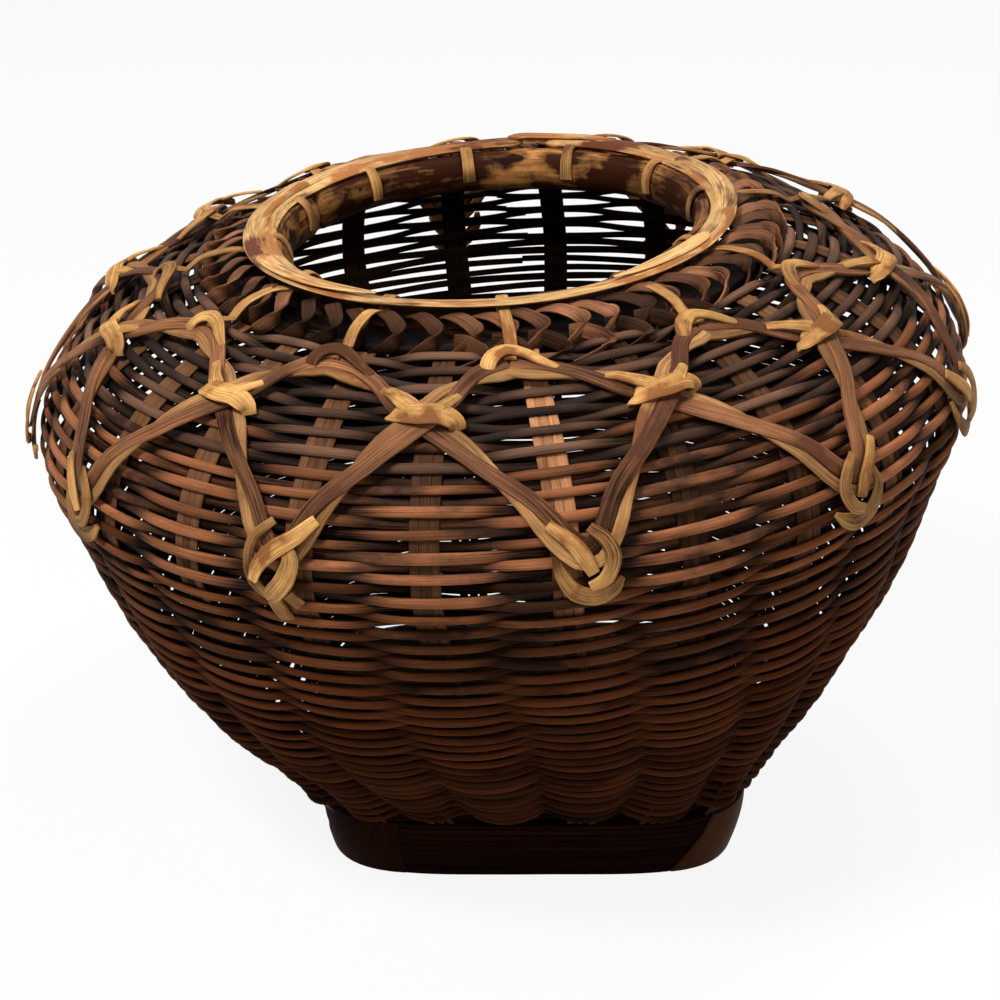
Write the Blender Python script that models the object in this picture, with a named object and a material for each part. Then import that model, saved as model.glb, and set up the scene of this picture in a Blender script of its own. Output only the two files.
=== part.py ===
"""Basket vase: a squat woven flower basket on a rounded-square foot.

Units are metres in the file and millimetres in the working functions.
+Z is up, the front is -Y, the origin is on the table under the centre of the outline.
Angles around the basket are measured from the front, positive to the right.
"""
import math

import bmesh
import bpy
import numpy as np

MM = 0.001

# overall sizes, millimetres
RIM_TOP = 202.0
RIM_OUTER_RADIUS = 77.6
WIDEST_RADIUS = 144.3
FOOT_HEIGHT = 19.5
FOOT_HALF_BOTTOM = 65.5
FOOT_HALF_TOP = 69.3
FOOT_SQUARENESS = 4.8
WALL_SQUARENESS = 2.9

# how the wall's middle surface swells: height above the table, radius
PROFILE = ((22.8, 73.5), (40, 86.2), (60, 102.7), (80, 116.7), (100, 128.7), (120, 137.4),
           (140, WIDEST_RADIUS), (155, 141.0), (170, 129.5), (180, 113.5), (186, 99.0), (188.4, 90.0))

# weave
STAKES = 24
STAKE_ZERO = math.radians(-7.5)
LOWER_TOP = 101.8
SHOULDER_BOTTOM = 102.2
SHOULDER_TOP = 187.6
SHOULDER_COURSES = 9
LOBE_DEPTH = 3.6
WEAVE_RELIEF = 0.75
GATHER_SPREAD, GATHER_TURN = 0.06, 0.085

# the basket was made by hand: its body leans and its mouth tips to the left
LEAN_TILT = math.radians(3.87)
LEAN_BASE_SHIFT = -2.0
LEAN_SHIFT_PER_MM = -0.061

# from the foot's centre to the centre of the whole outline, which is the origin
ORIGIN_X, ORIGIN_Y = -9.7, 0.25

# lattice of paired strips, tied at three heights
PERIODS = 12
UPPER_Z = 185.0
LOWER_Z = 148.5
MIDDLE_SHARE = 0.31
LATTICE_LIFT = 4.3
LATTICE_CROSS = 1.05
UPPER_SHIFT = {-2: -1.5, -1: -2.5, 0: -4.0, 1: -2.0, 2: -5.0, 3: 1.0}
MIDDLE_SHIFT = {-2: -4.0, -1: -1.0, 0: -1.0, 1: 1.5, 2: 0.0, 3: -2.5}
LOWER_SHIFT = {-2: -3.0, -1: -1.5, 0: 2.5, 1: 6.0, 2: 3.5}

MATERIALS = {
    "dark_weft": ((0.055, 0.022, 0.012, 1), 0.55),
    "brown_weft": ((0.115, 0.045, 0.024, 1), 0.5),
    "braid_brown": ((0.085, 0.035, 0.022, 1), 0.55),
    "hoop_brown": ((0.17, 0.065, 0.03, 1), 0.45),
    "straw": ((0.56, 0.33, 0.12, 1), 0.5),
    "lattice_brown": ((0.14, 0.06, 0.042, 1), 0.5),
    "foot_brown": ((0.05, 0.02, 0.012, 1), 0.6),
}


def clear_scene():
    for ob in list(bpy.data.objects):
        bpy.data.objects.remove(ob, do_unlink=True)


def material(name):
    mat = bpy.data.materials.get(name)
    if mat is None:
        colour, rough = MATERIALS[name]
        mat = bpy.data.materials.new(name)
        mat.use_nodes = True
        bsdf = mat.node_tree.nodes["Principled BSDF"]
        bsdf.inputs["Base Color"].default_value = colour
        bsdf.inputs["Roughness"].default_value = rough
        mat.diffuse_color = colour
    return mat


def finish(bm, name, slot, smooth=False):
    bmesh.ops.recalc_face_normals(bm, faces=bm.faces[:])
    for f in bm.faces:
        f.smooth = smooth
    me = bpy.data.meshes.new(name)
    bm.to_mesh(me)
    bm.free()
    ob = bpy.data.objects.new(name, me)
    ob.data.materials.append(material(slot))
    PARTS.objects.link(ob)
    return ob


# the surface of the body

def hermite(x, xs, ys):
    """Smooth curve through the knots, with slopes that never overshoot."""
    xs, ys = np.asarray(xs, float), np.asarray(ys, float)
    h = np.diff(xs)
    d = np.diff(ys) / h
    m = np.empty(len(xs))
    m[0], m[-1] = d[0], d[-1]
    for i in range(1, len(xs) - 1):
        m[i] = 0.0 if d[i - 1] * d[i] <= 0 else 2 * d[i - 1] * d[i] / (d[i - 1] + d[i])
    i = np.clip(np.searchsorted(xs, x) - 1, 0, len(h) - 1)
    t = (x - xs[i]) / h[i]
    return ((1 + 2 * t) * (1 - t) ** 2 * ys[i] + t * (1 - t) ** 2 * h[i] * m[i]
            + t * t * (3 - 2 * t) * ys[i + 1] + t * t * (t - 1) * h[i] * m[i + 1])


HEIGHTS = np.linspace(PROFILE[0][0], PROFILE[-1][0], 600)
RADII = hermite(HEIGHTS, [p[0] for p in PROFILE], [p[1] for p in PROFILE])
RUN = np.concatenate([[0], np.cumsum(np.hypot(np.diff(HEIGHTS), np.diff(RADII)))])


def run_at(z):
    """Distance along the profile, from the foot, at a height."""
    return float(np.interp(z, HEIGHTS, RUN))


def profile(s):
    """Radius, height and outward normal of the middle surface at a distance."""
    r = float(np.interp(s, RUN, RADII))
    z = float(np.interp(s, RUN, HEIGHTS))
    dr = float(np.interp(s + 1, RUN, RADII) - np.interp(s - 1, RUN, RADII))
    dz = float(np.interp(s + 1, RUN, HEIGHTS) - np.interp(s - 1, RUN, HEIGHTS))
    n = math.hypot(dr, dz)
    if s > RUN[-1]:
        r += (s - RUN[-1]) * dr / n
        z += (s - RUN[-1]) * dz / n
    return r, z, dz / n, -dr / n


def squircle(a, n):
    return (abs(math.cos(a)) ** n + abs(math.sin(a)) ** n) ** (-1 / n)


def squareness(z):
    k = min(max((z - 20) / 110, 0), 1)
    k = k * k * (3 - 2 * k)
    return WALL_SQUARENESS * (1 - k) + 2 * k


def settle(x, y, z):
    """Lean of the hand-made body on its level foot."""
    if z <= 19.7:
        return (x, y, z)
    k = min(max((z - 20) / 50, 0), 1)
    t = LEAN_TILT * k * k * (3 - 2 * k)
    return (x * math.cos(t) + LEAN_BASE_SHIFT + LEAN_SHIFT_PER_MM * (z - 20), y, z + x * math.sin(t))


def ring_point(a, r, z):
    x, y, z = settle(r * math.sin(a), -r * math.cos(a), z)
    return ((x - ORIGIN_X) * MM, (y - ORIGIN_Y) * MM, z * MM)


def gather(a, z):
    """The stakes start evenly spaced along the squarish foot, and turn a little as they rise."""
    near_foot = (squareness(z) - 2) / (WALL_SQUARENESS - 2)
    return a + near_foot * (GATHER_SPREAD * math.sin(4 * a) + GATHER_TURN)


def wall_point(a, s, off=0.0):
    r, z, nr, nz = profile(s)
    a = gather(a, z)
    return ring_point(a, r * squircle(a, squareness(z)) + off * nr, z + off * nz)


# the three ways a piece is made

def shell(name, slot, outer, inner, keep=None, wrap=True):
    """Closed plate between two grids of points, with the left-out cells open."""
    rows, cols = len(outer), len(outer[0])
    bm = bmesh.new()
    vo = [[bm.verts.new(p) for p in row] for row in outer]
    vi = [[bm.verts.new(p) for p in row] for row in inner]
    across = cols if wrap else cols - 1
    cells = {(i, j) for i in range(rows - 1) for j in range(across) if keep is None or keep(i, j)}
    for i, j in cells:
        k = (j + 1) % cols
        bm.faces.new((vo[i][j], vo[i][k], vo[i + 1][k], vo[i + 1][j]))
        bm.faces.new((vi[i][j], vi[i + 1][j], vi[i + 1][k], vi[i][k]))
        left = (i, (j - 1) % cols if wrap else j - 1)
        right = (i, (j + 1) % cols if wrap else j + 1)
        if (i - 1, j) not in cells:
            bm.faces.new((vo[i][j], vi[i][j], vi[i][k], vo[i][k]))
        if (i + 1, j) not in cells:
            bm.faces.new((vo[i + 1][k], vi[i + 1][k], vi[i + 1][j], vo[i + 1][j]))
        if left not in cells:
            bm.faces.new((vo[i + 1][j], vi[i + 1][j], vi[i][j], vo[i][j]))
        if right not in cells:
            bm.faces.new((vo[i][k], vi[i][k], vi[i + 1][k], vo[i + 1][k]))
    loose = [v for v in bm.verts if not v.link_faces]
    bmesh.ops.delete(bm, geom=loose, context="VERTS")
    return finish(bm, name, slot)


def tube(name, slot, sections, closed, smooth=False):
    """Solid swept through a list of equal rings of points."""
    bm = bmesh.new()
    rings = [[bm.verts.new(p) for p in sec] for sec in sections]
    n, m = len(rings), len(rings[0])
    for i in range(n if closed else n - 1):
        a, b = rings[i], rings[(i + 1) % n]
        for j in range(m):
            k = (j + 1) % m
            bm.faces.new((a[j], a[k], b[k], b[j]))
    if not closed:
        bm.faces.new(rings[0])
        bm.faces.new(list(reversed(rings[-1])))
    return finish(bm, name, slot, smooth)


def strip(name, slot, path, half_width, half_thick, closed, side=0.0):
    """Flat strip that lies on the body along a path of (angle, distance, lift)."""
    pts = [np.array(wall_point(*p)) for p in path]
    ups = [np.array(wall_point(p[0], p[1], p[2] + 1)) - q for p, q in zip(path, pts)]
    n = len(pts)
    sections = []
    for i in range(n):
        before = pts[(i - 1) % n] if closed or i else pts[0]
        after = pts[(i + 1) % n] if closed or i < n - 1 else pts[-1]
        run = after - before
        run /= np.linalg.norm(run)
        across = np.cross(ups[i], run)
        across /= np.linalg.norm(across)
        up = np.cross(run, across)
        mid = pts[i] + across * side * MM
        w, t = across * half_width * MM, up * half_thick * MM
        sections.append([mid - w - t, mid + w - t, mid + w + t, mid - w + t])
    return tube(name, slot, sections, closed)


# foot and floor

def foot_half(z):
    return FOOT_HALF_BOTTOM + (FOOT_HALF_TOP - FOOT_HALF_BOTTOM) * math.sin(math.pi / 2 * z / FOOT_HEIGHT)


def foot_point(a, w, z):
    r = w * squircle(a, FOOT_SQUARENESS)
    return ((r * math.sin(a) - ORIGIN_X) * MM, (-r * math.cos(a) - ORIGIN_Y) * MM, z * MM)


def foot_band():
    courses, count = 4, 56
    outline = []
    for k in range(courses):
        z0, z1 = FOOT_HEIGHT * k / courses, FOOT_HEIGHT * (k + 1) / courses
        outline.append((foot_half(z0) - 0.5, z0))
        outline.append((foot_half((z0 + z1) / 2) + 0.2, (z0 + z1) / 2))
    outline += [(FOOT_HALF_TOP - 0.5, FOOT_HEIGHT), (FOOT_HALF_TOP - 5.0, FOOT_HEIGHT),
                (FOOT_HALF_BOTTOM - 5.0, 0.0)]
    turns = [2 * math.pi * i / count for i in range(count)]
    tube("foot_band", "foot_brown", [[foot_point(a, w, z) for w, z in outline] for a in turns], True)


def corner_splints():
    """Slanted cane plates that cover the corners of the foot."""
    for k in range(4):
        corner = math.radians(45 + 90 * k)
        outer, inner = [], []
        for z in (2.2, 10.5, 19.0):
            left = corner - math.radians(10.5 + 0.45 * z)
            right = corner + math.radians(13.5)
            w = foot_half(z)
            row = [left + (right - left) * i / 7 for i in range(8)]
            outer.append([foot_point(a, w + 1.9, z) for a in row])
            inner.append([foot_point(a, w + 0.6, z) for a in row])
        shell("foot_corner_splint_%d" % (k + 1), "foot_brown", outer, inner, wrap=False)


def base_floor():
    count = 48
    turns = [2 * math.pi * i / count for i in range(count)]
    r = PROFILE[0][1] - 3.4 - LOBE_DEPTH * 0.5
    top = [ring_point(a, r * squircle(a, WALL_SQUARENESS), 22.2) for a in turns]
    low = [ring_point(a, r * squircle(a, WALL_SQUARENESS), 19.9) for a in turns]
    bm = bmesh.new()
    vt, vl = [bm.verts.new(p) for p in top], [bm.verts.new(p) for p in low]
    bm.faces.new(vt)
    bm.faces.new(list(reversed(vl)))
    for i in range(count):
        j = (i + 1) % count
        bm.faces.new((vl[i], vl[j], vt[j], vt[i]))
    finish(bm, "base_floor", "dark_weft")


# walls

def lower_wall():
    """Close weave, swollen into one lobe over every stake; its courses pass over and under."""
    per, rows, inner_rows = 4, 18, 4
    cols = STAKES * per

    def row_of_points(share, out, relief):
        s = run_at(LOWER_TOP) * share
        points = []
        for j in range(cols):
            lobe = LOBE_DEPTH * (1 - share) ** 0.8 * (abs(math.cos(math.pi * j / per)) ** 0.8 - 0.5)
            wave = relief * math.cos(math.pi * j / per)
            points.append(wall_point(STAKE_ZERO + 2 * math.pi * j / cols, s, out + lobe + wave))
        return points

    bm = bmesh.new()
    outer = [row_of_points(i / (rows - 1), 1.45, WEAVE_RELIEF * (-1) ** i) for i in range(rows)]
    inner = [row_of_points(i / (inner_rows - 1), -1.8, 0.0) for i in range(inner_rows)]
    vo, vi = ([[bm.verts.new(p) for p in row] for row in skin] for skin in (outer, inner))
    for j in range(cols):
        k = (j + 1) % cols
        for i in range(rows - 1):
            bm.faces.new((vo[i][j], vo[i][k], vo[i + 1][k], vo[i + 1][j]))
        for i in range(inner_rows - 1):
            bm.faces.new((vi[i][j], vi[i + 1][j], vi[i + 1][k], vi[i][k]))
        bm.faces.new((vo[0][j], vi[0][j], vi[0][k], vo[0][k]))
        bm.faces.new((vo[-1][k], vi[-1][k], vi[-1][j], vo[-1][j]))
    finish(bm, "wall_lower", "dark_weft")


def shoulder_wall():
    """Open weave: every course passes in front of one stake and behind the next."""
    courses = SHOULDER_COURSES
    s0, s1 = run_at(SHOULDER_BOTTOM), run_at(SHOULDER_TOP)
    pitch = (s1 - s0) / (courses - 0.3)
    half_bar = math.radians(2.2)
    outer, inner = [], []
    for c in range(courses):
        for edge in (0.0, 0.7):
            s = s0 + pitch * (c + edge)
            o, n = [], []
            for k in range(STAKES):
                a = STAKE_ZERO + 2 * math.pi * k / STAKES
                wave = 0.65 if (c + k) % 2 == 0 else -0.65
                for b in (a - half_bar, a + half_bar):
                    o.append(wall_point(b, s, 1.4 + wave))
                    n.append(wall_point(b, s, -1.4 + wave))
            outer.append(o)
            inner.append(n)
    shell("wall_shoulder", "brown_weft", outer, inner, keep=lambda i, j: i % 2 == 0 or j % 2 == 0)


# mouth

HOOP_RADIUS, HOOP_Z, HOOP_A, HOOP_B = 67.2, 191.7, 4.2, 7.0
CAP_A, CAP_B = 3.4, 3.2
CAP_RADIUS, CAP_Z = RIM_OUTER_RADIUS - CAP_A, RIM_TOP - CAP_B


# the plait's section: radius, height, how far the fold is slanted there, how open it is to the air
BRAID_FOLDS = 52
BRAID_SECTION = ((73.4, 189.6, 0.0, 0.0), (75.6, 191.9, 0.15, 0.4), (79.8, 193.1, 0.4, 1.0),
                 (84.8, 192.9, 0.55, 1.0), (89.2, 191.0, 0.2, 1.0), (92.0, 188.4, -0.3, 1.0),
                 (87.5, 187.2, -0.3, 0.3), (80.0, 186.8, -0.1, 0.0))


def oval(a, radius, z, half_r, half_z, count=8, turn=0.0):
    return [ring_point(a, radius + half_r * math.cos(turn + 2 * math.pi * i / count),
                       z + half_z * math.sin(turn + 2 * math.pi * i / count)) for i in range(count)]


def rim():
    for name, start, end in (("rim_hoop_front", -119.7, 94.7), ("rim_hoop_back", 95.3, 239.7)):
        steps = int((end - start) / 7.5)
        secs = []
        for i in range(steps + 1):
            a = math.radians(start + (end - start) * i / steps)
            swell = 1.0 if 0 < i < steps else 0.9
            secs.append(oval(a, HOOP_RADIUS, HOOP_Z, HOOP_A * swell, HOOP_B * swell))
        tube(name, "hoop_brown", secs, False)
    steps, start, end = 52, 172.0, 172.0 + 360.0 + 10.0
    secs = []
    for i in range(steps + 1):
        deg = start + (end - start) * i / steps
        a = math.radians(deg)
        ride = 0.0 if deg < start + 352 else min((deg - start - 352) / 7.0, 1.0)
        thin = 0.42 if (deg < start + 11 or ride) else 1.0
        low = CAP_Z - CAP_B * (1 - thin) + ride * (CAP_B * 0.84 + 0.35)
        secs.append(oval(a, CAP_RADIUS, low, CAP_A, CAP_B * thin))
    tube("rim_cap_strip", "straw", secs, False)


def braid():
    """Plaited border: each flat fold runs out from under the cap strip to a tip and back below it."""
    count = BRAID_FOLDS * 3
    secs = []
    for i in range(count):
        deep = (0.0, 0.08, 0.42)[i % 3]
        secs.append([ring_point(2 * math.pi * (i / 3 + slant) / BRAID_FOLDS, r + (82.5 - r) * deep * open_to_air,
                                z + (189.8 - z) * deep * open_to_air)
                     for r, z, slant, open_to_air in BRAID_SECTION])
    tube("braid_border", "braid_brown", secs, True)


# lattice

def knot_angle(level, k):
    shift = {"upper": UPPER_SHIFT, "middle": MIDDLE_SHIFT, "lower": LOWER_SHIFT}[level]
    wrapped = (k + PERIODS // 2) % PERIODS - PERIODS // 2
    half = 0.5 * 360 / PERIODS if level != "middle" else 0.0
    return STAKE_ZERO + math.radians(k * 360 / PERIODS + half + shift.get(wrapped, 0.0))


def leg(k_upper, direction):
    """Stations from an upper tie, past one crossing, to the lower tie beyond it."""
    k_mid = k_upper + (1 if direction > 0 else 0)
    a0, a1, a2 = knot_angle("upper", k_upper), knot_angle("middle", k_mid), \
        knot_angle("lower", k_upper + direction)
    s0, s2 = run_at(UPPER_Z), run_at(LOWER_Z)
    power = math.log(MIDDLE_SHARE) / math.log(0.5)
    out = []
    for x in (0.0, 0.2, 0.37, 0.5, 0.66, 0.83, 1.0):
        a = a0 + (a1 - a0) * x * 2 if x <= 0.5 else a1 + (a2 - a1) * (x - 0.5) * 2
        out.append((a, s0 + (s2 - s0) * x ** power, x, k_mid))
    return out


def lattice():
    for label, first, sign in (("a", 0, 1), ("b", 1, -1)):
        path = []
        for k in range(first, first + PERIODS, 2):
            down = leg(k, 1)
            rise = list(reversed(leg(k + 2, -1)))
            for part in (down[:-1], rise[:-1]):
                for a, s, x, mid in part:
                    over = sign * (1 if mid % 2 == 0 else -1) * math.sin(math.pi * x)
                    path.append((a, s, LATTICE_LIFT + LATTICE_CROSS * over))
        strip("lattice_dark_" + label, "lattice_brown", path, 3.1, 0.6, True, side=-2.1)
        strip("lattice_straw_" + label, "straw", path, 1.9, 0.6, True, side=3.4)


def middle_knots():
    power_s = run_at(UPPER_Z) + (run_at(LOWER_Z) - run_at(UPPER_Z)) * MIDDLE_SHARE
    radius = profile(power_s)[0]
    for k in range(PERIODS):
        a = knot_angle("middle", k)
        path = [(a + x / radius, power_s, lift) for x, lift in
                ((-15.2, 3.0), (-14.6, 5.4), (-12, 7.1), (0, 7.6), (12, 7.1), (14.6, 5.4), (15.2, 3.0))]
        strip("knot_middle_%02d" % (k + 1), "straw", path, 2.6, 0.45, False)


def lower_loops():
    base = run_at(LOWER_Z)
    radius = profile(base)[0]
    turn = ((-1, -13, 6.1), (-6, -8.5, 6.0), (-8.6, -2.5, 5.9), (-8.6, 3.5, 4.4), (-5.2, 8.6, 3.3),
            (0.6, 10.4, 3.2), (6.0, 8.0, 3.3), (8.8, 2.5, 4.6), (7.6, -2.5, 5.9), (3.2, -4.8, 6.0))
    for k in range(PERIODS):
        a = knot_angle("lower", k)
        path = [(a + x / radius, base - y, lift) for x, y, lift in turn]
        strip("loop_lower_%02d" % (k + 1), "straw", path, 2.0, 0.45, False)


def rim_ties():
    base = run_at(UPPER_Z)
    for k in range(PERIODS):
        a = knot_angle("upper", k)
        line = []
        for i in range(8):
            t = math.radians(195 - i * 165 / 7)
            line.append((HOOP_RADIUS + (HOOP_A + 0.8) * math.cos(t), HOOP_Z + (HOOP_B + 0.8) * math.sin(t)))
        line += [(74.2, 194.85), (80.5, 194.6), (89.5, 192.9), (93.6, 190.4)]
        for y, lift in ((8.0, 3.4), (6.8, 6.2), (0, 6.7), (-7.0, 6.3), (-8.6, 3.0)):
            r, z, nr, nz = profile(base + y)
            line.append((r + lift * nr, z + lift * nz))
        secs = []
        for i, (r, z) in enumerate(line):
            r0, z0 = line[max(i - 1, 0)]
            r1, z1 = line[min(i + 1, len(line) - 1)]
            d = math.hypot(r1 - r0, z1 - z0)
            nr, nz = -(z1 - z0) / d * 0.4, (r1 - r0) / d * 0.4
            secs.append([ring_point(a + side * 2.1 / r, r + f * nr, z + f * nz)
                         for side, f in ((-1, -1), (1, -1), (1, 1), (-1, 1))])
        tube("tie_upper_%02d" % (k + 1), "straw", secs, False)


clear_scene()
PARTS = bpy.data.collections.new("basket_vase")
bpy.context.scene.collection.children.link(PARTS)
foot_band()
corner_splints()
base_floor()
lower_wall()
shoulder_wall()
rim()
braid()
lattice()
middle_knots()
lower_loops()
rim_ties()
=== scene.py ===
"""Basket vase: woven cane, tied lattice, plaited border and mottled mouth hoop."""
import math
import random

import bpy
import numpy as np
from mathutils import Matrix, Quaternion, Vector


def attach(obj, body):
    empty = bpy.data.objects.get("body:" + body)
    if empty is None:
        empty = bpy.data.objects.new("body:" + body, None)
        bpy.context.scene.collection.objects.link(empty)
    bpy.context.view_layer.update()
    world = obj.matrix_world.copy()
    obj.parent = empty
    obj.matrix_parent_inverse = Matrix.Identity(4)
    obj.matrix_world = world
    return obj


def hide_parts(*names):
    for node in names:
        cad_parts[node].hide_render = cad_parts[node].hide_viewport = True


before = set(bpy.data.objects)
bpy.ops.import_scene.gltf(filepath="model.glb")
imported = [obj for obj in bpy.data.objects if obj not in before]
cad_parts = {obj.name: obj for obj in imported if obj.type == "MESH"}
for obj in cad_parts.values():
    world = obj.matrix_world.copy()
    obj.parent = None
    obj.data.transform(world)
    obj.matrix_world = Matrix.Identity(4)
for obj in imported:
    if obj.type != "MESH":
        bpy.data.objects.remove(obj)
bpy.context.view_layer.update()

MM = 0.001
CHANCE = random.Random(24)

# sizes of the body, millimetres, as in the CAD model
RIM_TOP, RIM_OUTER_RADIUS = 202.0, 77.6
FOOT_HEIGHT, FOOT_HALF_BOTTOM, FOOT_HALF_TOP = 19.5, 65.5, 69.3
FOOT_SQUARENESS, WALL_SQUARENESS = 4.8, 2.9
# height and radius of the wall
PROFILE = ((22.8, 73.5), (40, 86.2), (60, 102.7), (80, 116.7), (100, 128.7), (120, 137.4),
           (140, 144.3), (155, 141.0), (170, 129.5), (180, 113.5), (186, 99.0), (188.4, 90.0))
WALL_TOP = 187.8
STAKES, STAKE_ZERO = 24, math.radians(-7.5)
# the close weave swells over each stake up to this height
LOBE_DEPTH, LOWER_TOP = 3.6, 102.0
# stakes gather toward the foot's corners and turn as they rise
GATHER_SPREAD, GATHER_TURN = 0.06, 0.085
# the wall draws in over the foot's flat sides and spreads out at its corners
WALL_START, DRAW_IN, CORNER_SPREAD = 20.0, 6.0, 3.4
# the wall leans on a level foot
LEAN_FROM, LEAN_TILT = 19.7, math.radians(3.87)
LEAN_BASE_SHIFT, LEAN_SHIFT_PER_MM = -2.0, -0.061
ORIGIN_X, ORIGIN_Y = -9.7, 0.25


# the surface of the body

def smooth(t):
    t = np.clip(t, 0, 1)
    return t * t * (3 - 2 * t)


def ramp(x, start, end):
    """0 up to start and 1 from end on, smooth between; end may lie below start."""
    return smooth((x - start) / (end - start))


def even_curve(x, xs, ys):
    """Smooth curve through the points xs, ys that never bulges past them."""
    xs, ys = np.asarray(xs, float), np.asarray(ys, float)
    h = np.diff(xs)
    d = np.diff(ys) / h
    m = np.empty(len(xs))
    m[0], m[-1] = d[0], d[-1]
    for i in range(1, len(xs) - 1):
        m[i] = 0.0 if d[i - 1] * d[i] <= 0 else 2 * d[i - 1] * d[i] / (d[i - 1] + d[i])
    i = np.clip(np.searchsorted(xs, x) - 1, 0, len(h) - 1)
    t = (x - xs[i]) / h[i]
    return ((1 + 2 * t) * (1 - t) ** 2 * ys[i] + t * (1 - t) ** 2 * h[i] * m[i]
            + t * t * (3 - 2 * t) * ys[i + 1] + t * t * (t - 1) * h[i] * m[i + 1])


HEIGHTS = np.linspace(PROFILE[0][0], PROFILE[-1][0], 600)
RADII = even_curve(HEIGHTS, [z for z, _ in PROFILE], [r for _, r in PROFILE])
RUN = np.concatenate([[0], np.cumsum(np.hypot(np.diff(HEIGHTS), np.diff(RADII)))])


def run_at(z):
    """Distance along the profile at a height."""
    return float(np.interp(z, HEIGHTS, RUN))


def height_at(s):
    return float(np.interp(s, RUN, HEIGHTS))


def profile(s):
    """Radius, height and outward direction at a distance along the profile."""
    s = np.asarray(s, float)
    r, z = np.interp(s, RUN, RADII), np.interp(s, RUN, HEIGHTS)
    dr = np.interp(s + 1, RUN, RADII) - np.interp(s - 1, RUN, RADII)
    dz = np.interp(s + 1, RUN, HEIGHTS) - np.interp(s - 1, RUN, HEIGHTS)
    n = np.hypot(dr, dz)
    past = np.clip(s - RUN[-1], 0, None) + np.clip(s - RUN[0], None, 0)
    return r + past * dr / n, z + past * dz / n, dz / n, -dr / n


def squircle(a, n):
    """Radius of a square with rounded corners, 1 at the middle of a side."""
    return (np.abs(np.cos(a)) ** n + np.abs(np.sin(a)) ** n) ** (-1 / n)


def settle(x, y, z):
    """Lean what stands above the foot and move to the model's own origin."""
    tilt = LEAN_TILT * ramp(z, WALL_START, 70)
    above = z > LEAN_FROM
    shift = np.where(above, LEAN_BASE_SHIFT + LEAN_SHIFT_PER_MM * (z - WALL_START), 0)
    leant_x = np.where(above, x * np.cos(tilt), x) + shift - ORIGIN_X
    return np.stack([leant_x, y - ORIGIN_Y, np.where(above, z + x * np.sin(tilt), z)], -1) * MM


def ring_point(a, r, z):
    """Point at an angle from the front, a radius and a height."""
    a, r, z = np.broadcast_arrays(*(np.asarray(v, float) for v in (a, r, z)))
    return settle(r * np.sin(a), -r * np.cos(a), z)


def wall_point(a, s, off):
    """Point on the wall at an angle and a distance along the profile, moved outward by off."""
    r, z, nr, nz = profile(s)
    near_foot = 1 - ramp(z, WALL_START, 130)
    a = a + near_foot * (GATHER_SPREAD * np.sin(4 * a) + GATHER_TURN)
    at_base = 1 - ramp(z, WALL_START, 46)
    drawn_in = DRAW_IN * at_base * np.clip(0.5 + 0.5 * np.cos(4 * a), 0, 1) ** 0.7
    spread = CORNER_SPREAD * at_base * np.clip(-np.cos(4 * a), 0, 1)
    square = squircle(a, 2 + (WALL_SQUARENESS - 2) * near_foot)
    return ring_point(a, r * square - drawn_in + spread + off * nr, z + off * nz)


def on_body(a, s, off):
    """Points on the body and the outward direction there."""
    p = wall_point(a, s, off)
    return p, wall_point(a, s, np.asarray(off) + 1) - p


def lobe(a, s):
    """Swelling of the close weave over each stake, fading out at the shoulder."""
    share = np.clip(1 - np.asarray(s) / run_at(LOWER_TOP), 0, 1) ** 0.8
    return LOBE_DEPTH * share * (np.abs(np.cos(STAKES / 2 * (a - STAKE_ZERO))) ** 0.8 - 0.5)


# strands of cane

# cross-sections, half sizes across and outward
HALF_ROUND = ((-1, -0.55), (0, -0.7), (1, -0.55), (0.96, 0.1), (0.68, 0.68), (0, 1), (-0.68, 0.68),
              (-0.96, 0.1))
FLAT = ((-1, -0.4), (-0.9, -1), (0.9, -1), (1, -0.4), (0.98, 0.5), (0.8, 1), (0, 1.15), (-0.8, 1),
        (-0.98, 0.5))
ROUND = tuple((math.cos(i * math.pi / 5), math.sin(i * math.pi / 5)) for i in range(10))
# the back of a strand starts below this half height; it gets painted shade
BACK_FACE = -0.2


def flow(points, per):
    """Smooth curve through points, with per steps between two of them."""
    p = np.asarray(points, float)
    ext = np.vstack([2 * p[0] - p[1], p, 2 * p[-1] - p[-2]])
    out = []
    for i in range(len(p) - 1):
        a, b, c, d = ext[i:i + 4]
        for t in np.arange(per) / per:
            out.append(0.5 * (2 * b + (c - a) * t + (2 * a - 5 * b + 4 * c - d) * t ** 2
                              + (3 * b - a - 3 * c + d) * t ** 3))
    out.append(p[-1])
    return np.array(out)


def wander(n, size, slow=9):
    """Hand-made unevenness along a strand, one turn for each slow steps."""
    keys = [CHANCE.uniform(-size, size) for _ in range(max(3, n // slow))]
    x = np.linspace(0, len(keys) - 1, n)
    i = np.minimum(x.astype(int), len(keys) - 2)
    t = smooth(x - i)
    k = np.array(keys)
    return k[i] * (1 - t) + k[i + 1] * t


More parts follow.
